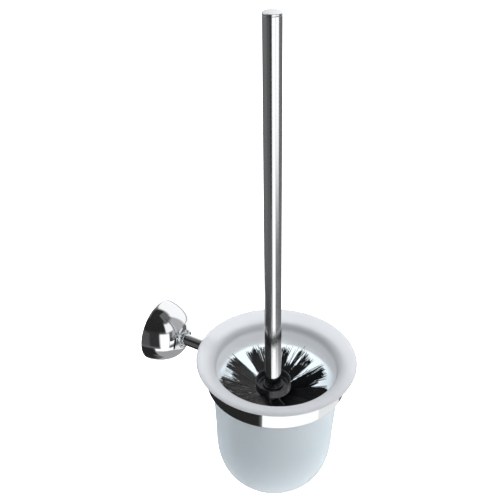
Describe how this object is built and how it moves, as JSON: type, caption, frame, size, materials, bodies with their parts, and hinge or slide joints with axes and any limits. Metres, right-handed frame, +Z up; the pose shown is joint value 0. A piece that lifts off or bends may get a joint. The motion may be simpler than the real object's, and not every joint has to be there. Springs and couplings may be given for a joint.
{
  "type": "toilet brush holder",
  "caption": "Wall-mounted toilet brush holder: a chrome rosette, arm and ring carry a frosted glass cup, with a chrome-handled brush standing in it.",
  "frame": {"origin": "centre of the rosette's wall face, on the arm's axis", "axes": "+Z up, +Y into the wall, the cup stands out along -Y"},
  "size_m": [0.1162, 0.1621, 0.3653],
  "materials": {
    "polished_chrome": "mirror-polished chrome plate on brass",
    "steel_fixings": "plain zinc-plated steel",
    "cast_zinc": "die-cast zinc, matt",
    "frosted_glass": "acid-etched inside and out, satin",
    "gloss_black_plastic": "moulded glossy black plastic",
    "black_plastic": "moulded black plastic",
    "bristle_nylon": "black nylon bristle"
  },
  "bodies": {
    "holder": {"wall_plate": "cast_zinc", "rosette": "polished_chrome", "rosette_grub_screw": "steel_fixings", "arm_screw": "steel_fixings", "arm_washer": "steel_fixings", "arm_collar": "polished_chrome", "arm": "polished_chrome", "ring_screw": "steel_fixings", "ring_band": "polished_chrome"},
    "cup": {"glass_cup": "frosted_glass"},
    "brush": {"handle_tube": "polished_chrome", "handle_cap": "polished_chrome", "handle_insert": "steel_fixings", "head_stud": "steel_fixings", "drip_collar": "gloss_black_plastic", "brush_core": "black_plastic", "bristle_row_1": "bristle_nylon", "bristle_row_2": "bristle_nylon", "bristle_row_3": "bristle_nylon", "bristle_row_4": "bristle_nylon", "bristle_row_5": "bristle_nylon", "bristle_row_6": "bristle_nylon", "bristle_tip": "bristle_nylon"}
  },
  "joints": [
    {"name": "cup_lift", "type": "slide", "parent": "holder", "child": "cup", "axis": [0, 0, 1], "range_m": [0, 0.13]},
    {"name": "brush_lift", "type": "slide", "parent": "cup", "child": "brush", "axis": [0, 0, 1], "range_m": [0, 0.15]}
  ]
}
